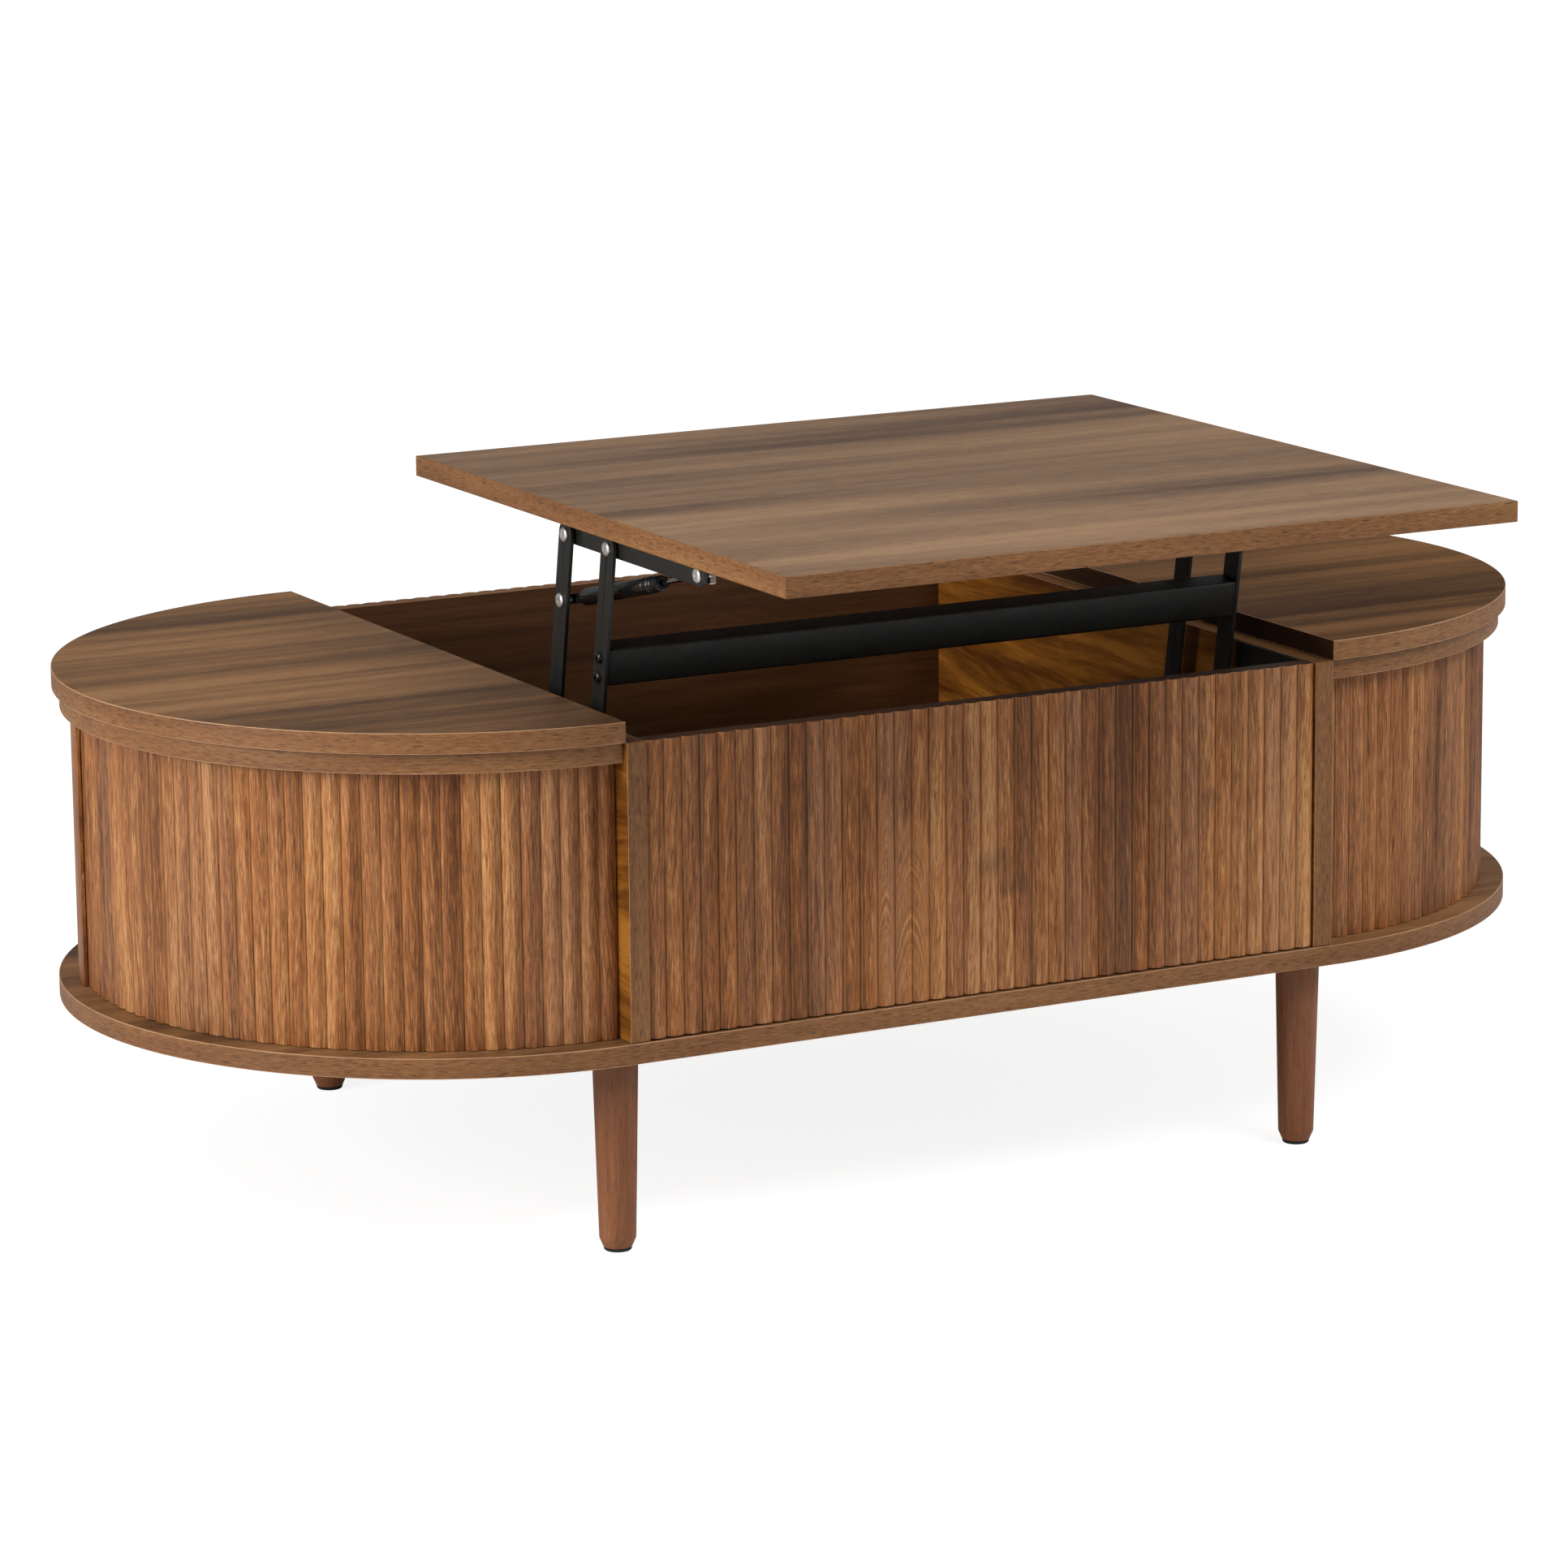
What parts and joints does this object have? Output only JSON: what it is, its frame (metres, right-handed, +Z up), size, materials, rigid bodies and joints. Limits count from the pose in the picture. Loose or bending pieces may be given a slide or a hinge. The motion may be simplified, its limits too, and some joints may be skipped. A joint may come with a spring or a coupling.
{
  "type": "lift top coffee table",
  "caption": "Oval walnut coffee table with a top that lifts forward on a spring linkage, reeded walls, a sliding tambour door at each end and tapered round legs.",
  "frame": {"origin": "on the floor, under the centre of the whole object's box with the top raised, so the case's own centre is 120.5 mm behind it", "axes": "+X along the table's length to the right seen from the front, +Z up, and -Y towards the front, the way the top lifts"},
  "size_m": [1.204, 0.845, 0.546],
  "materials": {
    "walnut_laminate": "satin walnut wood-grain laminate",
    "walnut_edge": "satin walnut wood-grain laminate and edge banding",
    "walnut_reeded": "satin walnut reeded surface",
    "leg_stain": "stained turned wood, satin",
    "black_steel": "satin black powder coat",
    "zinc_steel": "bright zinc plate",
    "black_felt": "matt black glide"
  },
  "bodies": {
    "table": {"base_board": "walnut_laminate", "partition_left": "walnut_edge", "partition_right": "walnut_edge", "front_panel": "walnut_reeded", "back_panel": "walnut_reeded", "sub_top_left": "walnut_edge", "sub_top_right": "walnut_edge", "end_top_left": "walnut_laminate", "end_top_right": "walnut_laminate", "curved_back_left": "walnut_reeded", "curved_back_right": "walnut_reeded", "leg_front_left": "leg_stain", "leg_front_right": "leg_stain", "leg_back_left": "leg_stain", "leg_back_right": "leg_stain", "foot_glide_front_left": "black_felt", "foot_glide_front_right": "black_felt", "foot_glide_back_left": "black_felt", "foot_glide_back_right": "black_felt", "leg_bolt_front_left": "zinc_steel", "leg_bolt_front_right": "zinc_steel", "leg_bolt_back_left": "zinc_steel", "leg_bolt_back_right": "zinc_steel", "side_bracket_left": "black_steel", "side_bracket_right": "black_steel", "lower_pin_front_left": "zinc_steel", "lower_pin_front_right": "zinc_steel", "lower_pin_rear_left": "zinc_steel", "lower_pin_rear_right": "zinc_steel"},
    "front_arms": {"front_arm_left": "black_steel", "front_arm_right": "black_steel", "crossbar": "black_steel", "crossbar_screw_lower_left": "black_steel", "crossbar_screw_lower_right": "black_steel", "crossbar_screw_upper_left": "black_steel", "crossbar_screw_upper_right": "black_steel"},
    "rear_arm_left": {"rear_arm_left": "black_steel", "gas_pin_left": "zinc_steel"},
    "rear_arm_right": {"rear_arm_right": "black_steel", "gas_pin_right": "zinc_steel"},
    "lift_top": {"lift_top": "walnut_laminate", "top_bracket_left": "black_steel", "top_bracket_right": "black_steel", "top_pin_front_left": "zinc_steel", "top_pin_front_right": "zinc_steel", "top_pin_rear_left": "zinc_steel", "top_pin_rear_right": "zinc_steel", "gas_rivet_left": "zinc_steel", "gas_rivet_right": "zinc_steel"},
    "gas_cylinder_left": {"gas_cylinder_left": "black_steel"},
    "gas_cylinder_right": {"gas_cylinder_right": "black_steel"},
    "gas_rod_left": {"gas_rod_left": "zinc_steel"},
    "gas_rod_right": {"gas_rod_right": "zinc_steel"},
    "door_left": {"tambour_door_left": "walnut_reeded"},
    "door_right": {"tambour_door_right": "walnut_reeded"}
  },
  "joints": [
    {"name": "lift", "type": "hinge", "parent": "table", "child": "front_arms", "pos_m": [0, -0.05679, 0.29912], "axis": [-1, 0, 0], "range_deg": [0, 80.95]},
    {"name": "rear_arm_left", "type": "hinge", "parent": "table", "child": "rear_arm_left", "pos_m": [0, 0.01321, 0.29912], "axis": [-1, 0, 0], "range_deg": [0, 81]},
    {"name": "rear_arm_right", "type": "hinge", "parent": "table", "child": "rear_arm_right", "pos_m": [0, 0.01321, 0.29912], "axis": [-1, 0, 0], "range_deg": [0, 81]},
    {"name": "top_level", "type": "hinge", "parent": "front_arms", "child": "lift_top", "pos_m": [0, -0.0945, 0.513], "axis": [-1, 0, 0], "range_deg": [-81, 0]},
    {"name": "gas_turn_left", "type": "hinge", "parent": "rear_arm_left", "child": "gas_cylinder_left", "pos_m": [0, -0.01558, 0.4624], "axis": [-1, 0, 0], "range_deg": [-88.1, 0]},
    {"name": "gas_slide_left", "type": "slide", "parent": "gas_cylinder_left", "child": "gas_rod_left", "axis": [0, 0.9721, -0.2345], "range_m": [0, 0.0627]},
    {"name": "gas_turn_right", "type": "hinge", "parent": "rear_arm_right", "child": "gas_cylinder_right", "pos_m": [0, -0.01558, 0.4624], "axis": [-1, 0, 0], "range_deg": [-88.1, 0]},
    {"name": "gas_slide_right", "type": "slide", "parent": "gas_cylinder_right", "child": "gas_rod_right", "axis": [0, 0.9721, -0.2345], "range_m": [0, 0.0627]},
    {"name": "door_left", "type": "hinge", "parent": "table", "child": "door_left", "pos_m": [-0.3, 0.1205, 0.2684], "axis": [0, 0, -1], "range_deg": [0, 73.5]},
    {"name": "door_right", "type": "hinge", "parent": "table", "child": "door_right", "pos_m": [0.3, 0.1205, 0.2684], "axis": [0, 0, 1], "range_deg": [0, 73.5]}
  ],
  "couplings": [
    {"joint": "rear_arm_left", "follows": "lift", "ratio": 1},
    {"joint": "rear_arm_right", "follows": "lift", "ratio": 1},
    {"joint": "top_level", "follows": "lift", "ratio": -1},
    {"joint": "gas_turn_left", "follows": "lift", "ratio": -1.0875},
    {"joint": "gas_slide_left", "follows": "lift", "m_per_rad": 0.044319},
    {"joint": "gas_turn_right", "follows": "lift", "ratio": -1.0875},
    {"joint": "gas_slide_right", "follows": "lift", "m_per_rad": 0.044319}
  ]
}
